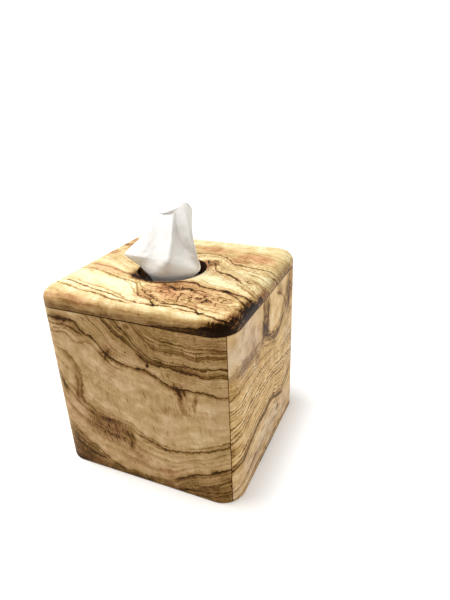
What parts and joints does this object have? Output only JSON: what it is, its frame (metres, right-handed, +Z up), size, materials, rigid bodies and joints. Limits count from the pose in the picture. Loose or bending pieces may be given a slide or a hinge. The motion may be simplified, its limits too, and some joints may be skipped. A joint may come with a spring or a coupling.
{
  "type": "wooden tissue box",
  "caption": "Mitred solid wood slip-over cover for a cube pack of paper tissues, with a round dispensing hole and a tissue drawn up through it.",
  "frame": {"origin": "middle of the cover's footprint, on the surface that it stands on", "axes": "+Z up; -Y out of the front board, which the picture shows nearly face on; +X to the right"},
  "size_m": [0.14, 0.134, 0.184],
  "materials": {
    "wood_top": "oiled, satin, strongly figured",
    "wood_side": "oiled, satin, strongly figured",
    "carton_board": "matt, uncoated",
    "tissue_paper": "soft, matt"
  },
  "bodies": {
    "root": {"top_board": "wood_top", "front_board": "wood_side", "back_board": "wood_side", "left_board": "wood_side", "right_board": "wood_side", "refill_carton": "carton_board", "tissue_stack": "tissue_paper", "pulled_tissue": "tissue_paper"}
  },
  "joints": []
}
